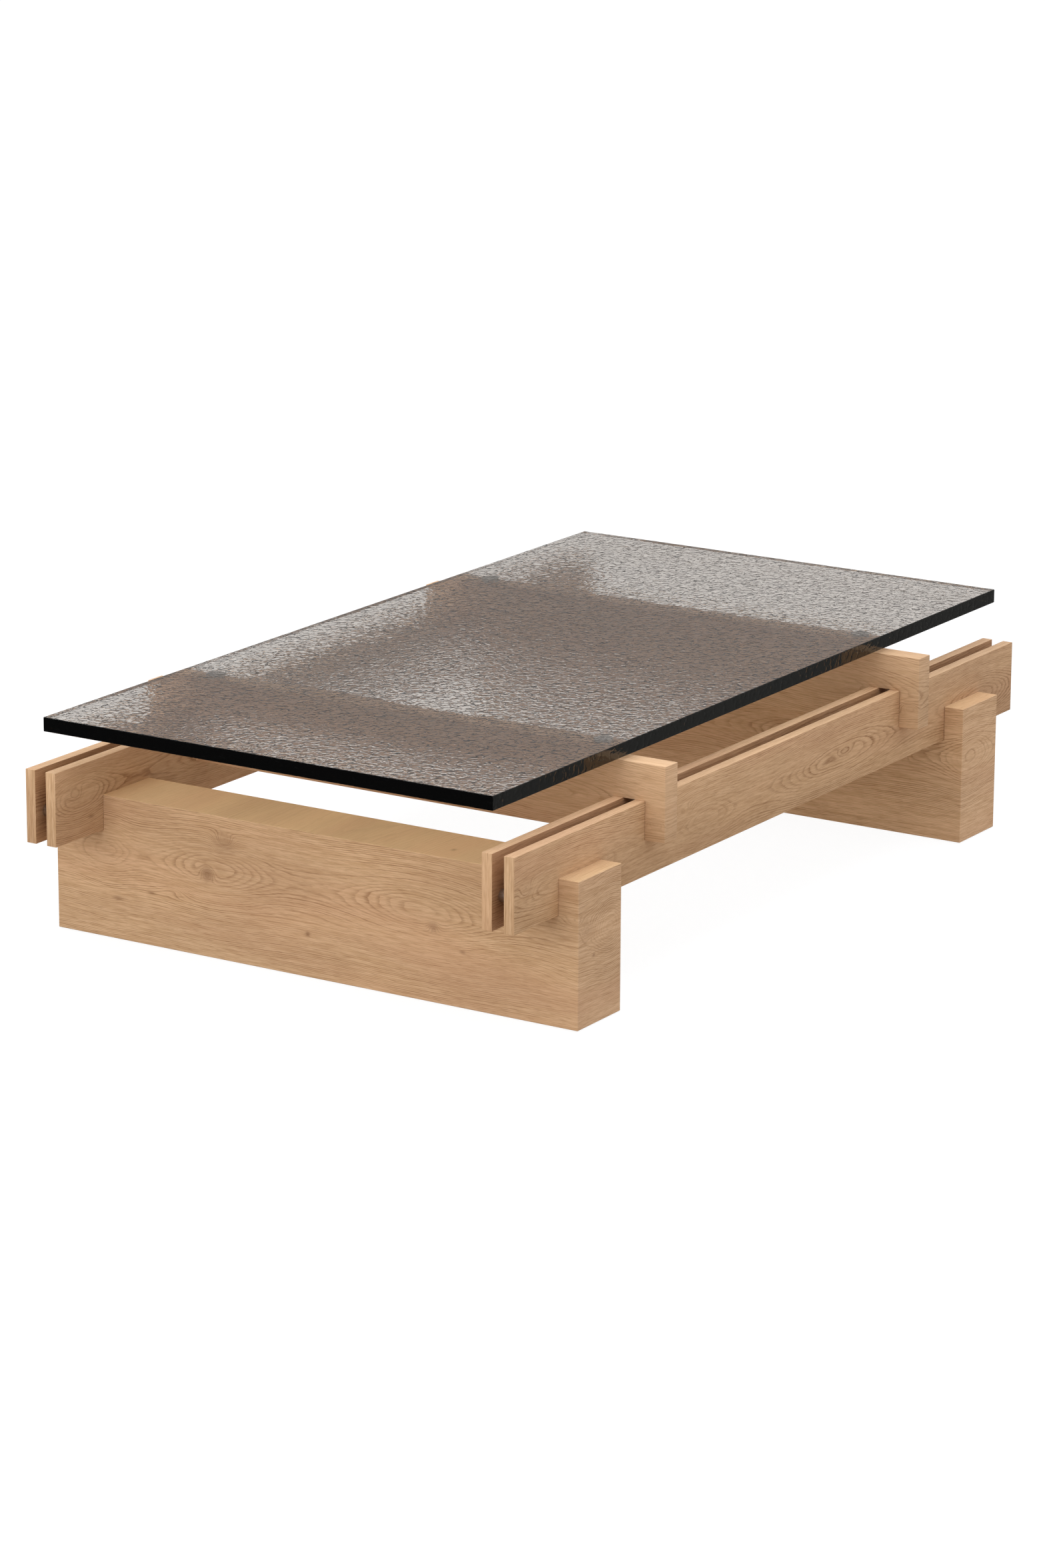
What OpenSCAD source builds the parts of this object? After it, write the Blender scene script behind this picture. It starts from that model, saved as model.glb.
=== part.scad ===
// Low coffee table: a thick smoked glass top carried by an interlocking oak frame.
// Two hollow oak blocks lie across the ends. Two pairs of planks on edge drop into
// slots in the blocks, and two cross beams are notched over the planks. The glass
// lies on four metal discs on the beams and lifts straight off.
// Origin: centre of the table on the floor. +X is the width, +Y the length, +Z up.

/* [Overall] */
// Width of the frame, across the end blocks and the cross beams
table_w = 800; // [660:5:980]
// Length of the rails and of the glass
table_l = 1300; // [1050:10:1600]

/* [Glass] */
// Width of the glass top
glass_w = 680; // [500:5:780]
// Thickness of the glass top
glass_t = 19; // [12:0.5:25]

/* [Rails] */
// Height of a rail plank, which stands on edge
rail_h = 98; // [80:1:120]
// Thickness of a rail plank
rail_t = 15; // [12:0.5:20]
// Clear space between the two planks of a pair
rail_gap = 17; // [14:0.5:30]
// How far the rails run out past the end blocks
rail_overhang = 100; // [60:1:150]

/* [End blocks] */
// Height of an end block
block_h = 191; // [155:1:240]
// Thickness of an end block, front to back
block_t = 100; // [80:1:130]
// Thickness of the veneered boards that a block is made of
board_t = 19; // [15:0.5:24]
// Thickness of the cheeks that line the slots
cheek_t = 10; // [8:0.5:14]
// How deep the rails sit in the end blocks
slot_depth = 47.5; // [38:0.5:60]
// Thickness of the floor board under a slot
floor_t = 15; // [12:0.5:20]
// Play between the rails and each side of a slot or notch
rail_play = 0.2; // [0.1:0.05:0.5]
// Thickness of a stiffening rib inside a block
rib_t = 12; // [9:0.5:18]
// Number of ribs between the slots of a block
rib_count = 3; // [1:1:6]

/* [Cross beams] */
// Height of a cross beam
beam_h = 99; // [80:1:125]
// Thickness of a cross beam
beam_t = 30; // [25:0.5:40]
// Clear space between an end block and the beam beside it
beam_gap = 102.5; // [70:0.5:150]

/* [Rail spacers] */
// Diameter of the round spacers and beam anchors between the planks
spacer_d = 16; // [14:0.5:20]
// Diameter of the spigots that enter the planks
spigot_d = 8; // [6:0.5:10]
// Length of a spigot
spigot_l = 8; // [6:0.5:9]
// From the end of a rail to the middle of its spacer
spacer_in = 22; // [16:0.5:60]
// From the lower edge of a rail to the middle of its spacer
spacer_up = 40.5; // [30:0.5:60]
// From the upper edge of a rail down to the middle of a beam anchor
anchor_drop = 20; // [16:0.5:28]

/* [Bolts] */
// Shank diameter of the frame bolts
bolt_d = 6; // [5:0.5:7]
// Diameter of a bolt's socket head
head_d = 10; // [8.5:0.5:12]
// Height of a bolt's socket head
head_h = 6; // [5:0.5:8]
// Width across the flats of the hexagon socket
hex_af = 5; // [4:0.5:6]
// Outer diameter of the threaded inserts
insert_d = 9; // [8.5:0.5:10.5]
// Length of the threaded inserts
insert_l = 13; // [10:0.5:16]
// Outer diameter of the washers under the rail bolts
washer_d = 12; // [11:0.5:14]
// Thickness of the washers under the rail bolts
washer_t = 1.5; // [1:0.25:2.5]
// Diameter of the access holes in the base boards
access_d = 20; // [18:0.5:24]

/* [Glass discs] */
// Diameter of the metal discs bonded under the glass
disc_d = 25; // [20:0.5:30]
// Thickness of a disc
disc_t = 4; // [4:0.5:8]
// Thickness of the cushion ring between a disc and its beam
cushion_t = 1; // [0.5:0.25:2]
// Width of the cushion ring's material, measured along its radius
cushion_ring = 5; // [3:0.5:6]
// From the long edge of the glass to the middle of a disc
disc_in = 40; // [30:1:80]
// Diameter of the locating pin under a disc
pin_d = 6; // [5:0.5:8]
// How far a locating pin reaches below its disc
pin_reach = 12; // [8:0.5:16]
// Wall of the bush that receives a pin
bush_wall = 1.7; // [1:0.1:2.5]
// Play around a pin in its bush
pin_play = 0.3; // [0.2:0.05:0.5]

/* [Floor glides] */
// Diameter of a felt glide
glide_d = 30; // [20:1:34]
// Thickness of a felt glide
glide_t = 2; // [1.5:0.5:5]
// From the sides of a block to the middle of a glide
glide_in = 22; // [18:1:35]

/* [Hidden] */
$fn = 48;
// Glue or thread clearance around what is fixed in a hole
glue_gap = 0.05;
// How much deeper a blind hole is than what enters it
hole_spare = 1;
// How deep a locating pin is set into its disc
pin_seat = 3;
// How far a cut runs past the faces it cuts
past = 1;
// Depth of the flat that seats a bolt head on a beam anchor
seat_cut = 3;
// Space between a bolt head and the rim of its seat
seat_play = 0.5;

// Heights, from the floor up
block_top = glide_t + block_h;
rail_bottom = block_top - slot_depth;
rail_top = rail_bottom + rail_h;
beam_top = block_top + beam_h;
disc_bottom = beam_top + cushion_t;
glass_bottom = disc_bottom + disc_t;

// Across the width: a slot lies inside an end board and a cheek
pair_w = 2 * rail_t + rail_gap;
slot_w = pair_w + 2 * rail_play;
slot_out = table_w / 2 - board_t - cheek_t;
slot_in = slot_out - slot_w;
pair_x = (slot_in + slot_out) / 2;
plank_off = (rail_gap + rail_t) / 2;
disc_x = glass_w / 2 - disc_in;

// Along the length
block_y = table_l / 2 - rail_overhang - block_t / 2;
beam_y = block_y - block_t / 2 - beam_gap - beam_t / 2;
spacer_y = table_l / 2 - spacer_in;
spacer_z = rail_bottom + spacer_up;
anchor_z = rail_top - anchor_drop;

// Inside a block
hollow_t = block_t - 2 * board_t;
hollow_h = block_h - 2 * board_t;
rib_pitch = 2 * (slot_in - cheek_t) / (rib_count + 1);

// Holes that receive the hardware
insert_hole_d = insert_d + 2 * glue_gap;
spigot_hole_d = spigot_d + 2 * glue_gap;
bolt_hole_d = bolt_d + 2 * glue_gap;
bush_d = pin_d + 2 * (pin_play + bush_wall);
bush_l = pin_reach - cushion_t + hole_spare;

oak = [0.79, 0.65, 0.49];
oak_edge = [0.74, 0.60, 0.44];
core_ply = [0.70, 0.58, 0.42];
steel = [0.68, 0.69, 0.70];
zinc = [0.60, 0.61, 0.62];
smoked = [0.30, 0.27, 0.25, 0.75];
nylon = [0.88, 0.87, 0.84];
clear_rubber = [0.80, 0.80, 0.78];
felt = [0.35, 0.33, 0.31];

ENDS = [["front", 0], ["rear", 1]];
CORNERS = [
    ["front_left", -1, -1],
    ["front_right", 1, -1],
    ["rear_left", -1, 1],
    ["rear_right", 1, 1]
];
// Each rail: its side of the table, and its place in the pair, 1 outer and -1 inner
RAILS = [
    ["left_outer_rail", -1, 1],
    ["left_inner_rail", -1, -1],
    ["right_inner_rail", 1, -1],
    ["right_outer_rail", 1, 1]
];
BLOCK_PIECES = [
    "outer_board", "inner_board", "end_boards", "top_board", "ear_caps",
    "base_board", "slot_cheeks", "slot_floors", "ribs"
];

// ---- End blocks, drawn with y = 0 in the middle of the block and its base at z = 0

// Puts a block piece at the front of the table, or mirrored at the rear
module in_block(rear) {
    mirror([0, rear, 0]) translate([0, -block_y, glide_t]) children();
}

// A board on edge with its outside face at y = 0 and all four edges mitred
module mitred_board(length, height) {
    intersection() {
        linear_extrude(height) polygon([
            [-length / 2, 0], [length / 2, 0],
            [length / 2 - board_t, board_t], [-length / 2 + board_t, board_t]
        ]);
        rotate([90, 0, 90]) linear_extrude(length, center = true) polygon([
            [0, 0], [board_t, board_t], [board_t, height - board_t], [0, height]
        ]);
    }
}

// The two slots that the rail pairs drop into
module slot_cuts() {
    for (side = [-1, 1])
        translate([side * pair_x - slot_w / 2, -block_t / 2 - past, block_h - slot_depth])
            cube([slot_w, block_t + 2 * past, slot_depth + past]);
}

// A vertical hole at each plank, in the middle of the block
module at_planks() {
    for (side = [-1, 1], place = [-1, 1])
        translate([side * pair_x + place * plank_off, 0, 0]) children();
}

module outer_board() {
    color(oak) difference() {
        translate([0, -block_t / 2, 0]) mitred_board(table_w, block_h);
        slot_cuts();
    }
}

module inner_board() {
    mirror([0, 1, 0]) outer_board();
}

module end_boards() {
    color(oak) for (side = [0, 1])
        mirror([side, 0, 0]) translate([table_w / 2, 0, 0])
            rotate([0, 0, 90]) mitred_board(block_t, block_h);
}

// The whole top of a block before the slots divide it
module top_blank() {
    translate([0, -block_t / 2, block_h]) rotate([-90, 0, 0]) mitred_board(table_w, block_t);
}

module top_board() {
    color(oak) intersection() {
        top_blank();
        translate([-slot_in, -block_t, 0]) cube([2 * slot_in, 2 * block_t, 2 * block_h]);
    }
}

module ear_caps() {
    color(oak) intersection() {
        top_blank();
        for (side = [-1, 1])
            translate([side * (slot_out + table_w / 2) - table_w / 2, -block_t, 0])
                cube([table_w, 2 * block_t, 2 * block_h]);
    }
}

module base_board() {
    color(oak_edge) difference() {
        translate([0, block_t / 2, 0]) rotate([90, 0, 0]) mitred_board(table_w, block_t);
        at_planks() translate([0, 0, -past]) cylinder(d = access_d, h = board_t + 2 * past);
    }
}

// Upright liners on both sides of each slot, standing on the base board
module slot_cheeks() {
    color(core_ply) for (side = [-1, 1], x = [slot_in - cheek_t / 2, slot_out + cheek_t / 2])
        translate([side * x - cheek_t / 2, -hollow_t / 2, board_t])
            cube([cheek_t, hollow_t, hollow_h]);
}

// The board under each slot, which the rails stand on and are bolted to
module slot_floors() {
    color(core_ply) difference() {
        for (side = [-1, 1])
            translate([
                side * pair_x - slot_w / 2, -hollow_t / 2, block_h - slot_depth - floor_t
            ])
                cube([slot_w, hollow_t, floor_t]);
        at_planks() cylinder(d = bolt_hole_d, h = block_h);
    }
}

module ribs() {
    color(core_ply) for (i = [1 : rib_count])
        translate([-slot_in + cheek_t + i * rib_pitch - rib_t / 2, -hollow_t / 2, board_t])
            cube([rib_t, hollow_t, hollow_h]);
}

// ---- Rails: planks on edge, drilled inside for the spacers and below for the inserts

module rail(side, place) {
    x = side * (pair_x + place * plank_off);
    // Face that looks into the gap, and the direction from there into the plank
    inward = side * place;
    color(oak) difference() {
        translate([x - rail_t / 2, -table_l / 2, rail_bottom]) cube([rail_t, table_l, rail_h]);
        for (end = [-1, 1]) {
            translate([x, end * block_y, rail_bottom - past])
                cylinder(d = insert_hole_d, h = insert_l + hole_spare + past);
            for (p = [[spacer_y, spacer_z], [beam_y, anchor_z]])
                translate([x - inward * (rail_t / 2 + past), end * p[0], p[1]])
                    rotate([0, inward * 90, 0])
                        cylinder(d = spigot_hole_d, h = spigot_l + glue_gap + past);
        }
    }
}

// ---- Round spacers between the planks, with a spigot into each plank

module spacer_turning() {
    rotate([0, 90, 0]) {
        cylinder(d = spacer_d, h = rail_gap, center = true);
        cylinder(d = spigot_d, h = rail_gap + 2 * spigot_l, center = true);
    }
}

module rail_spacer(side, end) {
    color(steel) translate([side * pair_x, end * spacer_y, spacer_z]) spacer_turning();
}

// A spacer under each beam crossing, cross-drilled and flatted for the beam bolt
module beam_anchor(side, end) {
    color(steel) translate([side * pair_x, end * beam_y, anchor_z]) difference() {
        spacer_turning();
        cylinder(d = bolt_hole_d, h = 2 * spacer_d, center = true);
        translate([0, 0, -spacer_d])
            cylinder(d = head_d + 2 * seat_play, h = spacer_d / 2 + seat_cut);
    }
}

// ---- Cross beams, notched from below over the rails

module cross_beam(end) {
    color(oak) difference() {
        translate([-table_w / 2, end * beam_y - beam_t / 2, block_top])
            cube([table_w, beam_t, beam_h]);
        for (side = [-1, 1]) {
            translate([
                side * pair_x - slot_w / 2, end * beam_y - beam_t / 2 - past, block_top - past
            ])
                cube([slot_w, beam_t + 2 * past, rail_top - block_top + past]);
            translate([side * pair_x, end * beam_y, rail_top - past])
                cylinder(d = insert_hole_d, h = insert_l + hole_spare + past);
            translate([side * disc_x, end * beam_y, beam_top - bush_l])
                cylinder(d = bush_d + 2 * glue_gap, h = bush_l + past);
        }
    }
}

// ---- Bolts, washers and inserts

// A socket-head bolt pointing up, with the underside of its head at z = 0
module socket_bolt(shank) {
    difference() {
        union() {
            translate([0, 0, -head_h]) cylinder(d = head_d, h = head_h);
            cylinder(d = bolt_d, h = shank);
        }
        translate([0, 0, -head_h - past])
            cylinder(d = hex_af / cos(30), h = head_h / 2 + past, $fn = 6);
    }
}

module tube(outer_d, inner_d, h) {
    difference() {
        cylinder(d = outer_d, h = h);
        translate([0, 0, -past]) cylinder(d = inner_d, h = h + 2 * past);
    }
}

module at_rail_bolts() {
    for (end = [-1, 1]) translate([0, end * block_y, rail_bottom]) at_planks() children();
}

module at_crossings() {
    for (side = [-1, 1], end = [-1, 1]) translate([side * pair_x, end * beam_y, 0]) children();
}

module rail_bolts() {
    color(zinc) at_rail_bolts() translate([0, 0, -floor_t - washer_t])
        socket_bolt(floor_t + washer_t + insert_l - hole_spare);
}

module rail_bolt_washers() {
    color(zinc) at_rail_bolts() translate([0, 0, -floor_t - washer_t])
        tube(washer_d, bolt_hole_d, washer_t);
}

module rail_inserts() {
    color(zinc) at_rail_bolts() tube(insert_d, bolt_hole_d, insert_l);
}

module beam_bolts() {
    seat_z = anchor_z - spacer_d / 2 + seat_cut;
    color(zinc) at_crossings() translate([0, 0, seat_z])
        socket_bolt(rail_top + insert_l - hole_spare - seat_z);
}

module beam_inserts() {
    color(zinc) at_crossings() translate([0, 0, rail_top])
        tube(insert_d, bolt_hole_d, insert_l);
}

// ---- Glass, the discs bonded under it and what locates them on the beams

module glass_top() {
    color(smoked) translate([-glass_w / 2, -table_l / 2, glass_bottom])
        cube([glass_w, table_l, glass_t]);
}

module at_discs() {
    for (side = [-1, 1], end = [-1, 1]) translate([side * disc_x, end * beam_y, 0]) children();
}

module glass_disc(side, end) {
    color(steel) translate([side * disc_x, end * beam_y, disc_bottom]) difference() {
        cylinder(d = disc_d, h = disc_t);
        translate([0, 0, -past]) cylinder(d = pin_d + 2 * glue_gap, h = pin_seat + past);
    }
}

module glass_locating_pins() {
    color(zinc) at_discs() translate([0, 0, disc_bottom - pin_reach])
        cylinder(d = pin_d, h = pin_reach + pin_seat);
}

module disc_cushions() {
    color(clear_rubber) at_discs() translate([0, 0, beam_top])
        tube(disc_d - 2, disc_d - 2 - 2 * cushion_ring, cushion_t);
}

module pin_bushes() {
    color(nylon) at_discs() translate([0, 0, beam_top - bush_l])
        tube(bush_d, pin_d + 2 * pin_play, bush_l);
}

// ---- Felt glides under the corners of both blocks

module floor_glides() {
    color(felt) for (x = [-1, 1], end = [-1, 1], y = [-1, 1])
        translate([x * (table_w / 2 - glide_in), end * block_y + y * (block_t / 2 - glide_in), 0])
            cylinder(d = glide_d, h = glide_t);
}

for (e = ENDS) {
    in_block(e[1]) outer_board();
    in_block(e[1]) inner_board();
    in_block(e[1]) end_boards();
    in_block(e[1]) top_board();
    in_block(e[1]) ear_caps();
    in_block(e[1]) base_board();
    in_block(e[1]) slot_cheeks();
    in_block(e[1]) slot_floors();
    in_block(e[1]) ribs();
    cross_beam(2 * e[1] - 1);
}
for (r = RAILS)
    rail(r[1], r[2]);
for (c = CORNERS) {
    rail_spacer(c[1], c[2]);
    beam_anchor(c[1], c[2]);
    glass_disc(c[1], c[2]);
}
rail_bolts();
rail_bolt_washers();
rail_inserts();
beam_bolts();
beam_inserts();
glass_top();
glass_locating_pins();
disc_cushions();
pin_bushes();
floor_glides();
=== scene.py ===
import math

import bmesh
import bpy
from mathutils import Matrix, Vector


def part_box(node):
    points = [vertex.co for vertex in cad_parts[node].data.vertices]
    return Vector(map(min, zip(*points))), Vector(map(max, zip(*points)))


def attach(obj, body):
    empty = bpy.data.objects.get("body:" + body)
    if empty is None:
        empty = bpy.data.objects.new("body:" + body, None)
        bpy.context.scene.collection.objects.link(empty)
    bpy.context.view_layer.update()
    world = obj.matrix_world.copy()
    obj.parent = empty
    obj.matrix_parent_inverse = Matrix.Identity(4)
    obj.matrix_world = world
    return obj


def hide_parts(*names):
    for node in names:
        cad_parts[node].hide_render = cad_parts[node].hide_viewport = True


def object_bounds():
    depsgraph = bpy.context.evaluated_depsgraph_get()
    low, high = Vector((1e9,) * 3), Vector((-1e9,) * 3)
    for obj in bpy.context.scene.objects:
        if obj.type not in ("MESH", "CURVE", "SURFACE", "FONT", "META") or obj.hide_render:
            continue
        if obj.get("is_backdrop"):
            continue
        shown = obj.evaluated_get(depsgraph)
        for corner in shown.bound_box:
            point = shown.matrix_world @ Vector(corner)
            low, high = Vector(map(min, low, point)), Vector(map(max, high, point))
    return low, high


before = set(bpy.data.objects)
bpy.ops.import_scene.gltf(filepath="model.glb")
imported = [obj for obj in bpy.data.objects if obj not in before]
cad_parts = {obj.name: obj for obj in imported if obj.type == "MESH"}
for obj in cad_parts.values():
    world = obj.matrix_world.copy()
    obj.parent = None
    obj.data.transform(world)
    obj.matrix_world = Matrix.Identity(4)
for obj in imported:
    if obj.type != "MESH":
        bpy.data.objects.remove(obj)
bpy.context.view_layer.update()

# ---- Camera -------------------------------------------------------------------------
# The table is seen from its front right corner, a little above the glass, through a
# long lens that keeps its long edges almost parallel.

VIEW_AZIMUTH = math.radians(32.514)
VIEW_ELEVATION = math.radians(15.418)
VIEW_ROLL = math.radians(0.24)
VIEW_DISTANCE = 6.865
VIEW_LENS = 117.23
VIEW_AIM = Vector((-0.0130, -0.0303, 0.1347))

sight = Vector((
    -math.sin(VIEW_AZIMUTH) * math.cos(VIEW_ELEVATION),
    math.cos(VIEW_AZIMUTH) * math.cos(VIEW_ELEVATION),
    -math.sin(VIEW_ELEVATION),
))
level = Vector((math.cos(VIEW_AZIMUTH), math.sin(VIEW_AZIMUTH), 0))
camera = bpy.data.objects.new("camera", bpy.data.cameras.new("camera"))
bpy.context.scene.collection.objects.link(camera)
camera.data.lens = VIEW_LENS
camera.data.sensor_width = 36
turn = Matrix((level, level.cross(sight), -sight)).transposed().to_4x4()
camera.matrix_world = (
    Matrix.Translation(VIEW_AIM - sight * VIEW_DISTANCE)
    @ turn
    @ Matrix.Rotation(VIEW_ROLL, 4, "Z")
)
bpy.context.scene.camera = camera
bpy.context.scene.view_settings.view_transform = "Standard"


# ---- Studio floor and light ---------------------------------------------------------
# A wide white floor and walls that brighten upwards, with one big soft light overhead
# and one low in front. What glass and metal mirror is set apart from what lights the
# wood, and the floor and both lights are hidden from mirror rays.

FLOOR_REACH = 40
FLOOR_GREY = (0.12, 0.12, 0.12, 1)
FLOOR_GLOW = 0.92
WHITE = (1.0, 1.0, 1.0, 1)
WALL_FOOT = (0.50, 0.43, 0.35, 1)
WALL_MIDDLE = (0.62, 0.585, 0.54, 1)
RIGHT_GAIN = (1.18, 1.22, 1.33)
MIRROR_LOW = (0.10, 0.10, 0.10, 1)
MIRROR_HIGH = (0.42, 0.42, 0.42, 1)
MIRROR_OVERHEAD = (0.90, 0.90, 0.90, 1)
MIRROR_BELOW_LEFT = (0.06, 0.06, 0.06, 1)
MIRROR_BELOW_RIGHT = (0.20, 0.20, 0.19, 1)
OVERHEAD_WATTS = 46
FRONT_WATTS = 35


class Wire:
    """An output socket of a material's tree."""

    def __init__(self, tree, socket):
        self.tree = tree
        self.socket = socket

    def node(self, kind, settings, inputs, out=0):
        """Adds any node: its type, its settings, and the values or links of its sockets."""
        made = self.tree.nodes.new(kind)
        for name, value in settings.items():
            setattr(made, name, value)
        for name, value in inputs.items():
            if isinstance(value, Wire):
                self.tree.links.new(value.socket, made.inputs[name])
            else:
                made.inputs[name].default_value = value
        return Wire(self.tree, made.outputs[out])

    def math(self, operation, *values):
        return self.node("ShaderNodeMath", {"operation": operation}, dict(enumerate(values)))

    def __add__(self, other):
        return self.math("ADD", self, other)

    __radd__ = __add__

    def __mul__(self, other):
        return self.math("MULTIPLY", self, other)

    __rmul__ = __mul__

    def __sub__(self, other):
        return self.math("SUBTRACT", self, other)

    def __rsub__(self, other):
        return self.math("SUBTRACT", other, self)

    def clamp(self, low, high):
        """Runs from 0 at low to 1 at high, smoothly."""
        return self.node(
            "ShaderNodeMapRange",
            {"interpolation_type": "SMOOTHSTEP"},
            {"Value": self, "From Min": low, "From Max": high},
        )

    def dot(self, direction):
        return self.node(
            "ShaderNodeVectorMath", {"operation": "DOT_PRODUCT"}, {0: self, 1: direction}, 1
        )

    def noise(self, scale, detail, roughness=0.5):
        return self.node(
            "ShaderNodeTexNoise",
            {},
            {"Vector": self, "Scale": scale, "Detail": detail, "Roughness": roughness},
        )

    def vector(self, x, y, z):
        return self.node("ShaderNodeCombineXYZ", {}, {"X": x, "Y": y, "Z": z})

    def mix(self, share, first, second):
        """Runs from one colour to another."""
        return self.node(
            "ShaderNodeMix",
            {"data_type": "RGBA", "clamp_factor": True},
            {0: share, 6: first, 7: second},
            2,
        )


def shown(red, green, blue):
    """A colour as a screen shows it, from 0 to 255, in the linear form that shaders take."""
    def linear(value):
        share = value / 255
        return share / 12.92 if share <= 0.04045 else ((share + 0.055) / 1.055) ** 2.4
    return linear(red), linear(green), linear(blue), 1


def new_material(name):
    """An empty material, its Principled shader and the Object coordinates to start from."""
    made = bpy.data.materials.new(name)
    made.use_nodes = True
    tree = made.node_tree
    shader = tree.nodes["Principled BSDF"]
    places = Wire(tree, tree.nodes.new("ShaderNodeTexCoord").outputs["Object"])
    return made, shader, places


def feed(shader, **sockets):
    """Sets the shader's sockets by name, with _ for a space: a number, a colour or a Wire."""
    for name, value in sockets.items():
        socket = shader.inputs[name.replace("_", " ")]
        if isinstance(value, Wire):
            value.tree.links.new(value.socket, socket)
        else:
            socket.default_value = value


bpy.ops.object.select_all(action="DESELECT")
bpy.ops.mesh.primitive_plane_add(size=FLOOR_REACH)
floor = bpy.context.object
floor.name = "studio_floor"
floor_paint, floor_shader, _ = new_material("studio_floor_white")
feed(
    floor_shader,
    Base_Color=FLOOR_GREY,
    Roughness=0.9,
    Specular_IOR_Level=0.0,
    Emission_Color=WHITE,
    Emission_Strength=FLOOR_GLOW,
)
floor.data.materials.append(floor_paint)
floor.visible_glossy = False
floor.visible_diffuse = False
floor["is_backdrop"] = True

world = bpy.data.worlds.new("studio")
world.use_nodes = True
bpy.context.scene.world = world
world_tree = world.node_tree
toward = Wire(world_tree, world_tree.nodes.new("ShaderNodeTexCoord").outputs["Generated"])
rays = world_tree.nodes.new("ShaderNodeLightPath").outputs
height = toward.dot((0, 0, 1))
right_side = toward.dot((0.95, 0.3, 0)).clamp(-0.6, 0.9)
walls = toward.mix(height.clamp(-0.25, 0.15), WALL_FOOT, WALL_MIDDLE)
walls = toward.mix(height.clamp(0.1, 0.95), walls, WHITE)
walls = toward.mix(right_side, walls, walls.node(
    "ShaderNodeVectorMath", {"operation": "MULTIPLY"}, {0: walls, 1: RIGHT_GAIN}
))
mirrored = toward.mix(height.clamp(0.0, 0.22), MIRROR_LOW, MIRROR_HIGH)
mirrored = toward.mix(height.clamp(0.50, 0.85), mirrored, MIRROR_OVERHEAD)
below = toward.mix(right_side, MIRROR_BELOW_LEFT, MIRROR_BELOW_RIGHT)
mirrored = toward.mix(height.clamp(-0.12, 0.0), below, mirrored)
seen = toward.mix(Wire(world_tree, rays["Is Diffuse Ray"]), WHITE, walls)
seen = toward.mix(Wire(world_tree, rays["Is Glossy Ray"]), seen, mirrored)
world_tree.links.new(seen.socket, world_tree.nodes["Background"].inputs["Color"])


def softbox(name, place, aim, width, depth, power):
    """A rectangular studio light."""
    lamp = bpy.data.lights.new(name, "AREA")
    lamp.shape = "RECTANGLE"
    lamp.size = width
    lamp.size_y = depth
    lamp.energy = power
    holder = bpy.data.objects.new(name, lamp)
    holder.location = place
    holder.rotation_euler = (Vector(aim) - Vector(place)).to_track_quat("-Z", "Y").to_euler()
    holder.visible_glossy = False
    bpy.context.scene.collection.objects.link(holder)


softbox("overhead_softbox", (0.1, -0.3, 3.2), (0, 0, 0), 3.0, 3.0, OVERHEAD_WATTS)
softbox("front_softbox", (-0.3, -4.2, 1.1), (0, 0, 0.2), 1.8, 1.2, FRONT_WATTS)


# ---- End blocks ---------------------------------------------------------------------
# Two hollow blocks that the table stands on, of oak-veneered boards with mitred edges.
# The figure of the veneer folds round the corners, and the arrises are lightly eased.

BOARD_THICK = 0.019
ARRIS = 0.0005
NOTCH_ARRIS = 0.0004
ACCESS_RADIUS = 0.010
HAIR = 1e-5
SAW_OVERRUN = 0.01
RAILS = ("left_outer_rail", "left_inner_rail", "right_inner_rail", "right_outer_rail")

OAK_LIGHT = shown(226, 190, 152)
OAK_MID = shown(204, 166, 127)
OAK_DARK = shown(146, 104, 68)
OAK_KNOT = shown(120, 80, 52)
OAK_PINK = shown(206, 160, 127)
RING_PITCH = 0.0022
HEART_SWAY = 0.016
RING_WANDER = 0.0036
PORE_RELIEF = 0.0003


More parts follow.
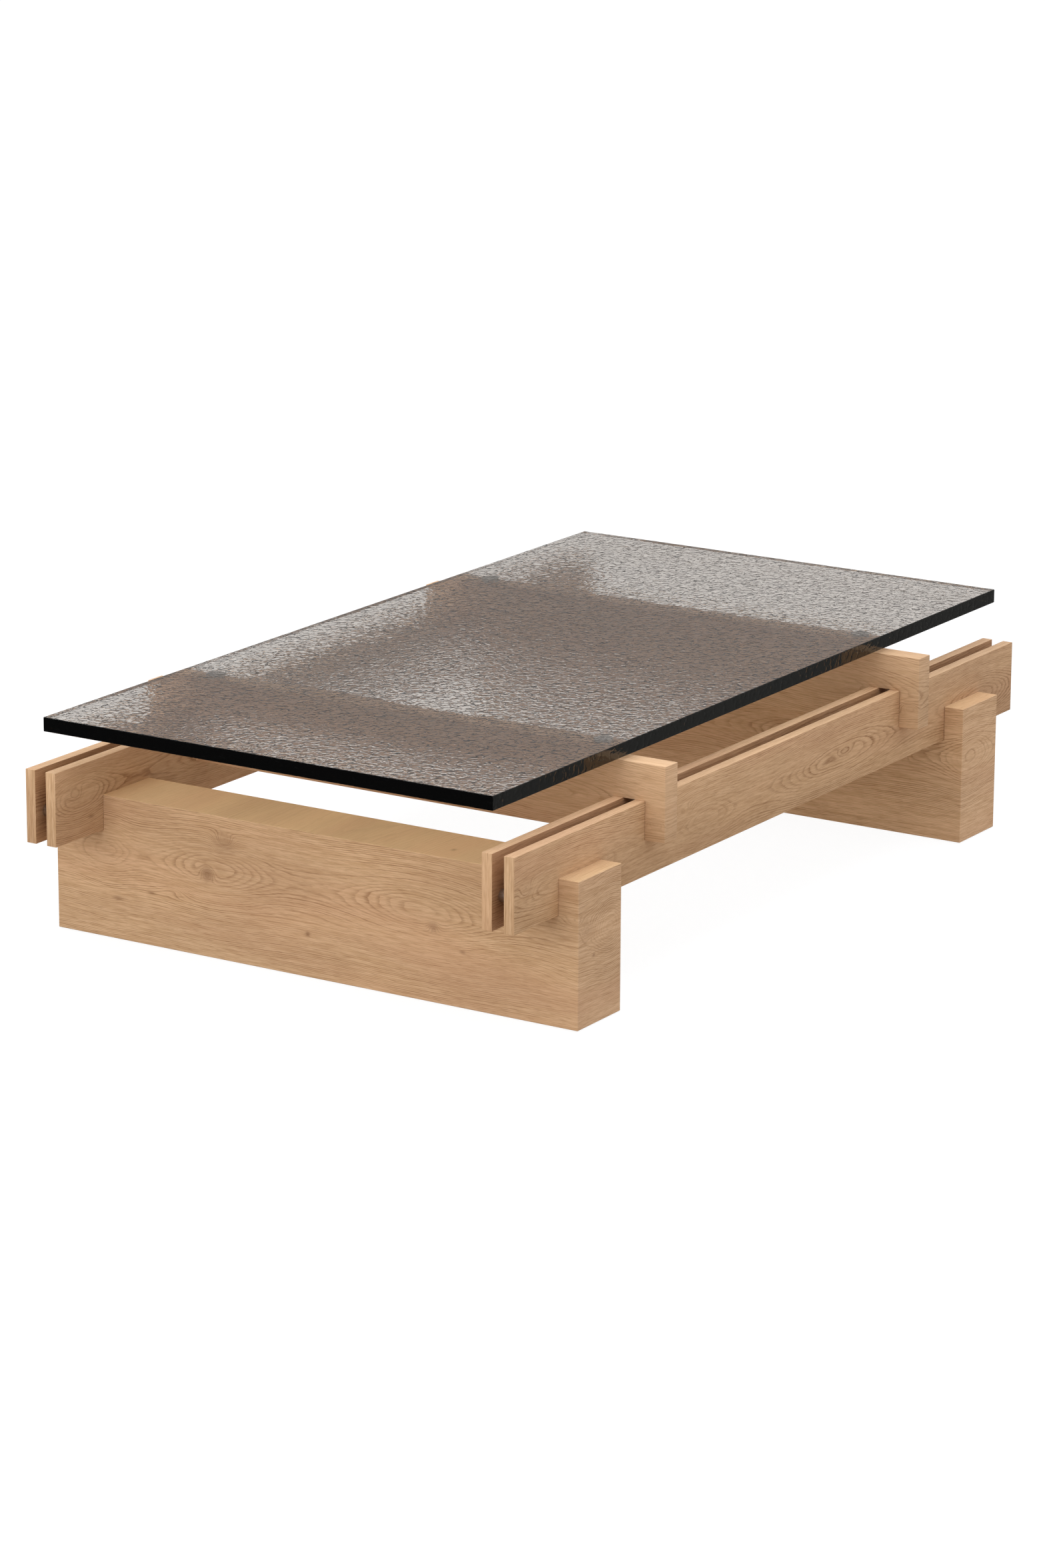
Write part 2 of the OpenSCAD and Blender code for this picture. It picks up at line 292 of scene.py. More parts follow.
def oak(name, along, across, seed, heart, eyes=(), knots=(), start=(0, 0, 0), calm=1.0, tint=(1, 1, 1)):
    """Oak veneer, sliced from a log. along and across are the grain's directions. heart is
    the height across the grain over the log's middle, and how deep that lies. eyes come
    up to the face: where along, half length, rise. knots: where along and across, half
    length, half width, rings, darkness."""
    made, shader, places = new_material(name)
    places = places.node("ShaderNodeVectorMath", {"operation": "SUBTRACT"}, {0: places, 1: start})
    u = places.dot(along)
    v = places.dot(across)

    # Growth rings lie round the heart, so an eye opens where it comes close to the face
    sway = places.vector(u * 2.4, v * 3, seed).noise(1.0, 1.0) - 0.5
    wander = places.vector(u * 13, v * 60, seed + 1.7).noise(1.0, 3.0, 0.6) - 0.5
    height, depth = heart
    deep = sway * 0.02 + depth
    for eye_u, half_long, rise in eyes:
        reach = (u - eye_u) * (1 / half_long)
        deep = deep - places.math("EXPONENT", reach * reach * -1.0) * rise
    off_heart = v - height + sway * HEART_SWAY
    rings = places.math("SQRT", off_heart * off_heart + deep * deep) + wander * RING_WANDER
    rings = rings * (1 / RING_PITCH)
    darkness = places.math("MULTIPLY", 0.0, 0.0)
    for knot_u, knot_v, half_long, half_wide, count, dark in knots:
        reach = (u - knot_u) * (1 / half_long)
        rise = (v - knot_v) * (1 / half_wide)
        near = places.math("EXPONENT", (reach * reach + rise * rise) * -1.0)
        if count:
            rings = rings + near * count
        if dark:
            darkness = darkness + near * dark

    # Each ring is a dark porous line that fades into paler late wood, and no two match
    phase = places.math("FRACT", rings)
    line = (1.0 - phase.clamp(0.08, 0.60)) * phase.clamp(0.0, 0.10)
    each = places.vector(places.math("FLOOR", rings) * 0.73, u * 4, seed + 4.1).noise(1.0, 1.0)
    patch = places.vector(u * 4, v * 22, seed + 6.3).noise(1.0, 2.0)
    dashes = places.vector(u * 55, v * 800, seed + 3.3).noise(1.0, 1.0)
    line = line * each.clamp(0.25, 0.68) * (patch.clamp(0.30, 0.66) * 0.75 + 0.25)
    line = line * (dashes.clamp(0.30, 0.62) * 0.5 + 0.5)

    # Pores are short dashes, thickest in the dark lines; fibres are long faint streaks
    pores = places.vector(u * 60, v * 1150, seed + 2.2).noise(1.0, 2.0, 0.6).clamp(0.47, 0.70)
    fibres = places.vector(u * 26, v * 430, seed + 5.5).noise(1.0, 3.0, 0.66)
    warmth = places.vector(u * 2.1, v * 14, seed + 9.4).noise(1.0, 2.0)
    clouds = places.vector(u * 3.2, v * 9, seed + 7.9).noise(1.0, 2.0)

    colour = places.mix((fibres.clamp(0.30, 0.70) - 0.5) * calm + 0.5, OAK_MID, OAK_LIGHT)
    colour = places.mix(warmth.clamp(0.42, 0.72) * 0.4, colour, OAK_PINK)
    colour = places.mix(line * (0.85 * calm), colour, OAK_DARK)
    colour = places.mix(pores * (line * 0.4 + 0.27) * calm, colour, OAK_DARK)
    colour = places.mix(darkness, colour, OAK_KNOT)
    tone = clouds.clamp(0.30, 0.72) * 0.12 + 0.92
    colour = places.node(
        "ShaderNodeVectorMath", {"operation": "SCALE"}, {0: colour, "Scale": tone}
    )
    # tint scales the colour; on block tops, narrow faces and gap faces it is painted light or painted shade
    colour = places.node(
        "ShaderNodeVectorMath", {"operation": "MULTIPLY"}, {0: colour, 1: tint}
    )
    relief = fibres * 0.5 - pores - line * 0.6
    bump = places.node(
        "ShaderNodeBump", {}, {"Height": relief, "Strength": 0.3, "Distance": PORE_RELIEF}
    )
    feed(
        shader,
        Base_Color=colour,
        Roughness=pores * 0.12 + fibres * 0.1 + 0.5,
        Specular_IOR_Level=0.25,
        Normal=bump,
    )
    return made


def squared(name, low, high):
    """A squared blank of timber between two corners."""
    bpy.ops.object.select_all(action="DESELECT")
    bpy.ops.mesh.primitive_cube_add(size=1, location=(Vector(low) + Vector(high)) / 2)
    blank = bpy.context.object
    blank.name = name
    blank.scale = Vector(high) - Vector(low)
    bpy.ops.object.transform_apply(location=True, rotation=True, scale=True)
    return blank


def on_bench(piece):
    """Opens a piece for shaping, with nothing selected."""
    bpy.ops.object.select_all(action="DESELECT")
    piece.select_set(True)
    bpy.context.view_layer.objects.active = piece
    bpy.ops.object.mode_set(mode="EDIT")
    bpy.ops.mesh.select_mode(type="VERT")
    bpy.ops.mesh.select_all(action="DESELECT")


def off_bench():
    bpy.ops.object.mode_set(mode="OBJECT")


def pick(piece, kind, wanted):
    """Selects the corners, edges or faces whose middle passes a test."""
    bpy.ops.mesh.select_all(action="DESELECT")
    bpy.ops.mesh.select_mode(type={"verts": "VERT", "edges": "EDGE", "faces": "FACE"}[kind])
    mesh = bmesh.from_edit_mesh(piece.data)
    for part in getattr(mesh, kind):
        if kind == "verts":
            middle = part.co
        elif kind == "edges":
            middle = (part.verts[0].co + part.verts[1].co) / 2
        else:
            middle = part.calc_center_median()
        if wanted(middle, part):
            part.select = True
    mesh.select_flush_mode()
    bmesh.update_edit_mesh(piece.data)


def cut_away(piece, cutters):
    """Takes the cutters' shapes out of a piece."""
    for cutter in cutters:
        bpy.ops.object.select_all(action="DESELECT")
        bpy.context.view_layer.objects.active = piece
        piece.select_set(True)
        saw = piece.modifiers.new("saw", "BOOLEAN")
        saw.object = cutter
        saw.solver = "EXACT"
        bpy.ops.object.modifier_apply(modifier=saw.name)
        bpy.data.objects.remove(cutter)


def drill(place, radius, depth, turn=(0, 0, 0)):
    """A round cutter centred on a place, upright unless turned."""
    bpy.ops.object.select_all(action="DESELECT")
    bpy.ops.mesh.primitive_cylinder_add(
        vertices=48, radius=radius, depth=depth, location=place, rotation=turn
    )
    return bpy.context.object


def joined(name, parts):
    """Makes one object of like parts that share a node."""
    bpy.ops.object.select_all(action="DESELECT")
    for part in parts:
        part.select_set(True)
    bpy.context.view_layer.objects.active = parts[0]
    if len(parts) > 1:
        bpy.ops.object.join()
    parts[0].name = name
    return parts[0]


def copied(piece, name, shift):
    """A copy of a shaped piece with its own mesh, moved over."""
    bpy.ops.object.select_all(action="DESELECT")
    piece.select_set(True)
    bpy.context.view_layer.objects.active = piece
    bpy.ops.object.duplicate()
    twin = bpy.context.object
    twin.name = name
    bpy.ops.transform.translate(value=shift)
    bpy.ops.object.transform_apply(location=True, rotation=True, scale=True)
    return twin


def smooth(piece, angle):
    bpy.ops.object.select_all(action="DESELECT")
    piece.select_set(True)
    bpy.context.view_layer.objects.active = piece
    bpy.ops.object.shade_smooth_by_angle(angle=math.radians(angle))


def fit(piece, node, body="frame", angle=30):
    """Puts a finished piece in the place of its CAD node."""
    smooth(piece, angle)
    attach(piece, body)
    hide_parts(node)


def mitred_board(name, low, high, outside, mitres):
    """A board whose inside face is cut back at 45 degrees along the named edges."""
    low, high, outside = Vector(low), Vector(high), Vector(outside)
    middle, half = (low + high) / 2, (high - low) / 2
    board = squared(name, low, high)
    on_bench(board)
    for edge in map(Vector, mitres):
        pick(
            board, "verts",
            lambda p, _: (p - middle).dot(outside) < 0 and (p - middle).dot(edge) > 0,
        )
        bpy.ops.transform.translate(value=-BOARD_THICK * edge)
    for edge in map(Vector, mitres):
        slope = (outside + edge).normalized()
        corner = middle + Vector(a * b for a, b in zip(half, outside + edge))
        bpy.ops.mesh.select_all(action="SELECT")
        bpy.ops.mesh.bisect(
            plane_co=corner - slope * ARRIS, plane_no=slope, use_fill=True, clear_outer=True
        )
    off_bench()
    return board


def ease(piece, width, wanted, steps=1):
    """Takes the sharpness off the edges that pass a test."""
    on_bench(piece)
    pick(piece, "edges", wanted)
    bpy.ops.mesh.bevel(offset=width, segments=steps, affect="EDGES")
    off_bench()


RIGHT, LEFT, BACK, FORE, UP, DOWN = (
    (1, 0, 0), (-1, 0, 0), (0, 1, 0), (0, -1, 0), (0, 0, 1), (0, 0, -1)
)

# The near block's figure: a round knot with fans on both sides, a long eye under the
# rails and small knots, and on the end face a curl that runs on from the front
NEAR_EYES = [(0.172, 0.095, 0.016), (-0.150, 0.075, 0.014), (-0.320, 0.040, 0.011), (0.474, 0.030, 0.014)]
NEAR_KNOTS = [
    (-0.132, 0.158, 0.016, 0.013, 8.0, 0.26), (-0.159, 0.113, 0.010, 0.009, 5.0, 0.5),
    (-0.215, 0.082, 0.024, 0.008, 3.0, 0.0), (-0.020, 0.088, 0.070, 0.010, 2.5, 0.0),
    (-0.248, 0.073, 0.006, 0.0022, 0.0, 0.5), (-0.302, 0.057, 0.009, 0.003, 1.0, 0.42),
    (-0.003, 0.059, 0.0035, 0.0035, 1.2, 0.6), (0.188, 0.100, 0.008, 0.007, 3.0, 0.35),
    (0.231, 0.075, 0.005, 0.002, 0.0, 0.5), (0.325, 0.072, 0.055, 0.024, 6.0, 0.0),
    (0.421, 0.125, 0.012, 0.010, 4.5, 0.14), (0.436, 0.091, 0.003, 0.0022, 0.0, 0.5),
    (0.395, 0.140, 0.016, 0.008, 3.0, 0.0),
]
FAR_EYES = [(0.150, 0.100, 0.016), (-0.170, 0.080, 0.014), (0.425, 0.050, 0.015)]
FAR_KNOTS = [(0.300, 0.120, 0.016, 0.013, 5.0, 0.2), (-0.260, 0.130, 0.009, 0.008, 3.0, 0.35)]
BLOCK_HEART = (0.122, 0.036)
# Painted light: the block's top board is coloured lighter and yellower than its faces, standing in for light
# on the top under the glass
TOP_PAINTED_LIGHT = (1.11, 1.14, 1.02)
CAP_TINT = (1.0, 1.02, 0.96)
TOP_KNOTS = [(0.035, 0.195, 0.0045, 0.003, 0.8, 0.5)]

# Each board of the near block is shaped here. The far block's are copies of them,
# which trade places: the near block's outer board is the far one's inner board
low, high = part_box("front_block_outer_board")
fore, back = low.y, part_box("front_block_inner_board")[1].y
left, right, foot, top = low.x, high.x, low.z, high.z
slot_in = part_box("front_block_top_board")[1].x
slot_out, slot_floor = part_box("front_block_slot_floors")[1].xz
block_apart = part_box("rear_block_base_board")[0].y - fore
boards = {}

for place, y, outside in (("outer", fore, -1), ("inner", back, 1)):
    near_y, far_y = sorted((y, y - outside * BOARD_THICK))
    board = mitred_board(
        f"front_block_{place}_board_oak",
        (left, near_y, foot), (right, far_y, top), (0, outside, 0), (RIGHT, LEFT, UP, DOWN),
    )
    cut_away(board, [
        squared(
            "slot",
            (x_low, near_y - SAW_OVERRUN, slot_floor),
            (x_high, far_y + SAW_OVERRUN, top + SAW_OVERRUN),
        )
        for x_low, x_high in ((slot_in, slot_out), (-slot_out, -slot_in))
    ])
    ease(
        board, NOTCH_ARRIS,
        lambda p, e: abs(p.y - y) < HAIR and slot_floor - HAIR < p.z < top - 2 * ARRIS
        and slot_in - HAIR < abs(p.x) < slot_out + HAIR,
    )
    boards[f"{place}_board"] = board

boards["end_boards"] = joined("front_block_end_boards_oak", [
    mitred_board("end", (x, fore, foot), (x + BOARD_THICK, back, top), side, (FORE, BACK, UP, DOWN))
    for x, side in ((left, LEFT), (right - BOARD_THICK, RIGHT))
])
boards["top_board"] = mitred_board(
    "front_block_top_board_oak",
    (-slot_in, fore, top - BOARD_THICK), (slot_in, back, top), UP, (FORE, BACK),
)
boards["ear_caps"] = joined("front_block_ear_caps_oak", [
    mitred_board("cap", (x_low, fore, top - BOARD_THICK), (x_high, back, top), UP, (FORE, BACK, side))
    for x_low, x_high, side in ((left, -slot_out, LEFT), (slot_out, right, RIGHT))
])
boards["base_board"] = mitred_board(
    "front_block_base_board_oak",
    (left, fore, foot), (right, back, foot + BOARD_THICK), DOWN, (FORE, BACK, RIGHT, LEFT),
)
cut_away(boards["base_board"], [
    drill((x, (fore + back) / 2, foot), ACCESS_RADIUS, 4 * BOARD_THICK)
    for x in sorted(sum(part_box(rail), Vector()).x / 2 for rail in RAILS)
])

far_names = {"outer_board": "inner_board", "inner_board": "outer_board"}
far_boards = {
    far_names.get(name, name): copied(
        board, f"rear_block_{far_names.get(name, name)}_oak", (0, block_apart, 0)
    )
    for name, board in boards.items()
}
for end, set_of, seed, eyes, knots, start_y in (
    ("front", boards, 11.0, NEAR_EYES, NEAR_KNOTS, fore),
    ("rear", far_boards, 23.0, FAR_EYES, FAR_KNOTS, fore + block_apart),
):
    start = (0, start_y, 0)
    face = oak(f"{end}_block_oak", (1, 1, 0), (0, 0, 1), seed, BLOCK_HEART, eyes, knots, start)
    # The top board's colour is raised by painted light
    flat = oak(
        f"{end}_block_top_oak", (0, 1, 0), (1, 0, 0), seed + 5, (0.02, 0.35),
        (), TOP_KNOTS, start, 0.25, TOP_PAINTED_LIGHT,
    )
    cap = oak(
        f"{end}_block_cap_oak", (0, 1, 0), (1, 0, 0), seed + 7, (0.02, 0.35),
        start=start, calm=0.5, tint=CAP_TINT,
    )
    under = oak(f"{end}_block_base_oak", (1, 0, 0), (0, 1, 0), seed + 9, (0.2, 0.05), start=start)
    for name, board in set_of.items():
        board.data.materials.append({"top_board": flat, "ear_caps": cap, "base_board": under}.get(name, face))
        fit(board, f"{end}_block_{name}")


# ---- Block linings and ribs ---------------------------------------------------------
# Birch plywood glued inside the blocks, never seen once they are closed: cheeks and a
# floor round each slot, and ribs that keep the big boards flat.

PLY_LIGHT = shown(214, 188, 150)
PLY_DARK = shown(176, 143, 104)
PLY_PITCH = 0.0028

ply, ply_shader, ply_places = new_material("birch_ply")
leaves = ply_places.math("PINGPONG", ply_places.dot((1, 0, 0)), PLY_PITCH / 2) * (2 / PLY_PITCH)
leaves = leaves.clamp(0.42, 0.58)
ply_grain = ply_places.node("ShaderNodeMapping", {}, {"Vector": ply_places, "Scale": (60, 60, 900)})
ply_grain = ply_grain.noise(1.0, 3.0)
ply_colour = ply_places.mix(leaves * 0.5 + ply_grain * 0.35, PLY_LIGHT, PLY_DARK)
feed(ply_shader, Base_Color=ply_colour, Roughness=ply_grain * 0.2 + 0.6, Specular_IOR_Level=0.2)
for end in ("front", "rear"):
    for lining in ("slot_cheeks", "slot_floors", "ribs"):
        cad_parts[f"{end}_block_{lining}"].data.materials.clear()
        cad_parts[f"{end}_block_{lining}"].data.materials.append(ply)


# ---- Rails --------------------------------------------------------------------------
# Four long oak planks on edge, in two pairs, dropped into the slots of the blocks. They
# are drilled on the inside for the spacers, and have a fine arris all round. The faces
# that look into a gap are coloured darker: painted shade.

RAIL_ARRIS = 0.0007
SPIGOT_HOLE_RADIUS = 0.00405
SPIGOT_HOLE_DEPTH = 0.0083
ACROSS_X = (0, math.pi / 2, 0)
# Painted light: the tops, bottoms and ends of rails and beams are coloured 4% lighter
EDGE_PAINTED_LIGHT = (1.04, 1.04, 1.04)
RAIL_TINT = (0.93, 0.91, 0.87)
# Painted shade: the faces that look into the gap between two planks are coloured darker and browner
GAP_PAINTED_SHADE = (0.70, 0.60, 0.52)

spacer_places = [
    sum(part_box(f"{end}_right_{kind}"), Vector()) / 2
    for kind in ("rail_spacer", "beam_anchor") for end in ("front", "rear")
]


def plank(rail, hole_side):
    """A rail with blind holes for the spacers' spigots on its left (-1) or right (1) face."""
    low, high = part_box(rail)
    piece = squared(f"{rail}_oak", low, high)
    ease(piece, RAIL_ARRIS, lambda p, e: True, 2)
    holed_x = high.x if hole_side > 0 else low.x
    cut_away(piece, [
        drill((holed_x, place.y, place.z), SPIGOT_HOLE_RADIUS, 2 * SPIGOT_HOLE_DEPTH, ACROSS_X)
        for place in spacer_places
    ])
    return piece


right_outer = plank("right_outer_rail", -1)
right_inner = plank("right_inner_rail", 1)
planks = {
    "right_outer_rail": right_outer,
    "right_inner_rail": right_inner,
    "left_inner_rail": copied(
        right_outer, "left_inner_rail_oak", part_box("left_inner_rail")[0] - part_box("right_outer_rail")[0]
    ),
    "left_outer_rail": copied(
        right_inner, "left_outer_rail_oak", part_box("left_outer_rail")[0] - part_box("right_inner_rail")[0]
    ),
}
# For each rail: the heart's height and depth, then eyes and knots as for the blocks
RAIL_FIGURES = {
    "right_outer_rail": (
        (0.188, 0.036),
        [(0.150, 0.150, 0.018), (0.560, 0.090, 0.018), (-0.560, 0.120, 0.017), (-0.200, 0.070, 0.012)],
        [(0.167, 0.193, 0.022, 0.007, 3.0, 0.12), (-0.622, 0.197, 0.014, 0.010, 4.0, 0.08),
         (-0.250, 0.205, 0.020, 0.009, 4.0, 0.0), (-0.505, 0.158, 0.005, 0.002, 0.0, 0.5)],
    ),
    "right_inner_rail": ((0.215, 0.040), [(-0.450, 0.150, 0.018), (0.200, 0.200, 0.018)], []),
    "left_inner_rail": (
        (0.200, 0.036),
        [(-0.600, 0.060, 0.017), (-0.250, 0.140, 0.018), (0.300, 0.120, 0.016)],
        [(-0.606, 0.206, 0.016, 0.009, 4.0, 0.06), (-0.575, 0.170, 0.006, 0.002, 0.0, 0.5)],
    ),
    "left_outer_rail": ((0.180, 0.040), [(-0.300, 0.180, 0.018), (0.350, 0.120, 0.017)], []),
}
for seed, (rail, (heart, eyes, knots)) in enumerate(RAIL_FIGURES.items(), 31):
    piece = planks[rail]
    piece.data.materials.append(
        oak(f"{rail}_face_oak", (0, 1, 0), (0, 0, 1), seed, heart, eyes, knots, tint=RAIL_TINT)
    )
    # Tops, bottoms and ends carry painted light: their colour is raised a little
    piece.data.materials.append(
        oak(f"{rail}_edge_oak", (0, 1, 0), (1, 0, 0), seed + 0.4, (0.2, 0.1), calm=0.7, tint=EDGE_PAINTED_LIGHT)
    )
    piece.data.materials.append(
        oak(f"{rail}_end_oak", (0, 0, 1), (1, 0, 0), seed + 0.7, (0.2, 0.1), tint=EDGE_PAINTED_LIGHT)
    )
    # The faces in the gap carry painted shade, darker and browner
    piece.data.materials.append(
        oak(f"{rail}_gap_painted_shade_oak", (0, 1, 0), (0, 0, 1), seed + 0.9, heart, tint=GAP_PAINTED_SHADE)
    )
    gap_side = 1 if rail in ("right_inner_rail", "left_outer_rail") else -1
    for face in piece.data.polygons:
        if face.normal.x * gap_side > 0.5:
            face.material_index = 3
        else:
            face.material_index = 1 if abs(face.normal.z) > 0.5 else 2 if abs(face.normal.y) > 0.5 else 0
    fit(piece, rail)


# ---- Cross beams --------------------------------------------------------------------
# Two oak beams on edge, notched from below so that they drop over both pairs of rails
# and stop level with the tops of the blocks. Their tops are drilled for the bushes.

BEAM_ARRIS = 0.0007
NOTCH_PLAY = 0.0002
BUSH_HOLE_RADIUS = 0.00505
BUSH_HOLE_DEPTH = 0.012
BEAM_FIGURES = {
    "front": (
        41.0, (0.236, 0.040), [(0.230, 0.110, 0.018), (-0.150, 0.160, 0.018)],
        [(0.386, 0.217, 0.013, 0.006, 4.0, 0.14)],
    ),
    "rear": (
        53.0, (0.240, 0.040), [(0.270, 0.110, 0.018), (-0.100, 0.160, 0.018)],
        [(0.386, 0.222, 0.014, 0.007, 4.0, 0.12)],
    ),
}

low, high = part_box("front_cross_beam")
notch_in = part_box("right_inner_rail")[0].x - NOTCH_PLAY
notch_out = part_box("right_outer_rail")[1].x + NOTCH_PLAY
notch_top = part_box("right_outer_rail")[1].z
near_beam = squared("front_cross_beam_oak", low, high)
ease(near_beam, BEAM_ARRIS, lambda p, e: True, 2)
cut_away(near_beam, [
    squared(
        "notch",
        (x_low, low.y - SAW_OVERRUN, low.z - SAW_OVERRUN),
        (x_high, high.y + SAW_OVERRUN, notch_top),
    )
    for x_low, x_high in ((notch_in, notch_out), (-notch_out, -notch_in))
])
ease(
    near_beam, NOTCH_ARRIS,
    lambda p, e: min(abs(p.y - low.y), abs(p.y - high.y)) < HAIR
    and low.z + 2 * BEAM_ARRIS < p.z < notch_top + HAIR
    and notch_in - HAIR < abs(p.x) < notch_out + HAIR,
)
cut_away(near_beam, [
    drill((x, (low.y + high.y) / 2, high.z), BUSH_HOLE_RADIUS, 2 * BUSH_HOLE_DEPTH)
    for x in sorted(sum(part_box(f"front_{side}_glass_disc"), Vector()).x / 2 for side in ("left", "right"))
])
beam_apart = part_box("rear_cross_beam")[0] - low
beams = {"front": near_beam, "rear": copied(near_beam, "rear_cross_beam_oak", beam_apart)}
for end, (seed, heart, eyes, knots) in BEAM_FIGURES.items():
    beam = beams[end]
    start = (0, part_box(f"{end}_cross_beam")[0].y, 0)
    beam.data.materials.append(
        oak(f"{end}_beam_oak", (1, 1, 0), (0, 0, 1), seed, heart, eyes, knots, start, 0.8)
    )
    # The beam's top and bottom carry painted light: their colour is raised a little
    beam.data.materials.append(
        oak(f"{end}_beam_edge_oak", (1, 0, 0), (0, 1, 0), seed + 3, (0.2, 0.1), calm=0.6, tint=EDGE_PAINTED_LIGHT)
    )
    for face in beam.data.polygons:
        face.material_index = 1 if abs(face.normal.z) > 0.5 else 0
    fit(beam, f"{end}_cross_beam")


# ---- Rail spacers and beam anchors --------------------------------------------------
# Turned stainless rounds that hold the planks of a pair apart, with a glued spigot in
# each plank. Those under the beams are cross-drilled for the beam's bolt.

SPACER_RADIUS = 0.008
SPIGOT_RADIUS = 0.004
TURNED_EDGE = 0.0005
BOLT_HOLE_RADIUS = 0.00305
HEAD_SEAT_RADIUS = 0.0055
HEAD_SEAT_DEPTH = 0.003
STEEL_GREY = (0.63, 0.63, 0.62, 1)
STEEL_SHADE = (0.52, 0.52, 0.52, 1)

steel, steel_shader, steel_places = new_material("satin_steel")
turning = steel_places.node("ShaderNodeMapping", {}, {"Vector": steel_places, "Scale": (5200, 900, 900)})
turning = turning.noise(1.0, 2.0)
smudge = steel_places.noise(90.0, 2.0)
steel_bump = steel_places.node(
    "ShaderNodeBump", {}, {"Height": turning, "Strength": 0.12, "Distance": 0.0001}
)
feed(
    steel_shader,
    Base_Color=steel_places.mix(smudge * 0.3, STEEL_GREY, STEEL_SHADE),
    Metallic=1.0,
    Roughness=turning * 0.12 + smudge * 0.1 + 0.22,
    Normal=steel_bump,
)


def turned_spacer(node):
    """A round between two planks, with a spigot on each end."""
    low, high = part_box(node)
    middle = (low + high) / 2
    gap_low, gap_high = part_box("left_outer_rail")[1].x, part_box("left_inner_rail")[0].x
    reach = gap_low - low.x
    bpy.ops.object.select_all(action="DESELECT")
    bpy.ops.mesh.primitive_cylinder_add(
        vertices=64, radius=SPACER_RADIUS, depth=gap_high - gap_low, rotation=ACROSS_X, location=middle
    )
    spacer = bpy.context.object
    spacer.name = f"{node}_turned"
    bpy.ops.object.transform_apply(location=True, rotation=True, scale=True)
    on_bench(spacer)
    for face_x, shift in ((gap_low, -reach), (gap_high, reach)):
        pick(spacer, "faces", lambda p, f: abs(f.normal.x) > 0.9 and abs(p.x - face_x) < 1e-4)
        bpy.ops.mesh.inset(thickness=SPACER_RADIUS - SPIGOT_RADIUS)
        bpy.ops.mesh.extrude_region_move(TRANSFORM_OT_translate={"value": (shift, 0, 0)})
    pick(
        spacer, "edges",
        lambda p, e: e.calc_face_angle() > 1 and (p.yz - middle.yz).length > SPACER_RADIUS * 0.9,
    )
    bpy.ops.mesh.bevel(offset=TURNED_EDGE, segments=2, affect="EDGES")
    off_bench()
    return spacer


first_spacer = turned_spacer("front_left_rail_spacer")
first_anchor = turned_spacer("front_left_beam_anchor")
middle = sum(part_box("front_left_beam_anchor"), Vector()) / 2
cut_away(first_anchor, [
    drill(middle, BOLT_HOLE_RADIUS, 4 * SPACER_RADIUS),
    drill(middle - Vector((0, 0, SPACER_RADIUS)), HEAD_SEAT_RADIUS, 2 * HEAD_SEAT_DEPTH),
])
for kind, first in (("rail_spacer", first_spacer), ("beam_anchor", first_anchor)):
    for end in ("front", "rear"):
        for side in ("left", "right"):
            node = f"{end}_{side}_{kind}"
            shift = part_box(node)[0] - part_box(f"front_left_{kind}")[0]
            turned = copied(first, f"{node}_turned", shift) if shift.length > 1e-4 else first
            turned.data.materials.append(steel)
            fit(turned, node)


# ---- Frame bolts --------------------------------------------------------------------
# Zinc-plated socket-head bolts with washers and threaded inserts. They come up through
# the slot floors into the rails, and through the anchors into the beams.

HEAD_RADIUS = 0.005
HEAD_HEIGHT = 0.006
SHANK_RADIUS = 0.003
SOCKET_RADIUS = 0.0025 / math.cos(math.pi / 6)
SOCKET_DEPTH = 0.003
THREAD_PITCH = 0.001
HEAD_EDGE = 0.0005
TIP_CHAMFER = 0.0006
ZINC = (0.60, 0.61, 0.63, 1)
ZINC_BLOOM = (0.50, 0.50, 0.48, 1)

zinc, zinc_shader, zinc_places = new_material("zinc_plate")
bloom = zinc_places.noise(260.0, 3.0)
thread = zinc_places.math("PINGPONG", zinc_places.dot((0, 0, 1)), THREAD_PITCH / 2) * (2 / THREAD_PITCH)
zinc_bump = zinc_places.node(
    "ShaderNodeBump", {}, {"Height": thread, "Strength": 0.1, "Distance": 0.0002}
)
feed(
    zinc_shader,
    Base_Color=zinc_places.mix(bloom.clamp(0.4, 0.7), ZINC, ZINC_BLOOM),
    Metallic=1.0,
    Roughness=bloom * 0.25 + 0.22,
    Normal=zinc_bump,
)


def socket_bolt(x, y, head_low, tip):
    """A bolt that points up, its head at the bottom."""
    bpy.ops.object.select_all(action="DESELECT")
    bpy.ops.mesh.primitive_cylinder_add(
        vertices=48, radius=HEAD_RADIUS, depth=HEAD_HEIGHT, location=(x, y, head_low + HEAD_HEIGHT / 2)
    )
    bolt = bpy.context.object
    bpy.ops.object.transform_apply(location=True, rotation=True, scale=True)
    on_bench(bolt)
    pick(bolt, "edges", lambda p, e: abs(p.z - head_low) < HAIR)
    bpy.ops.mesh.bevel(offset=HEAD_EDGE, segments=3, affect="EDGES")
    pick(bolt, "faces", lambda p, f: f.normal.z > 0.9)
    bpy.ops.mesh.inset(thickness=HEAD_RADIUS - SHANK_RADIUS)
    bpy.ops.mesh.extrude_region_move(
        TRANSFORM_OT_translate={"value": (0, 0, tip - head_low - HEAD_HEIGHT)}
    )
    pick(bolt, "edges", lambda p, e: abs(p.z - tip) < HAIR)
    bpy.ops.mesh.bevel(offset=TIP_CHAMFER, segments=1, affect="EDGES")
    off_bench()
    bpy.ops.object.select_all(action="DESELECT")
    bpy.ops.mesh.primitive_cylinder_add(
        vertices=6, radius=SOCKET_RADIUS, depth=2 * SOCKET_DEPTH, location=(x, y, head_low)
    )
    cut_away(bolt, [bpy.context.object])
    return bolt


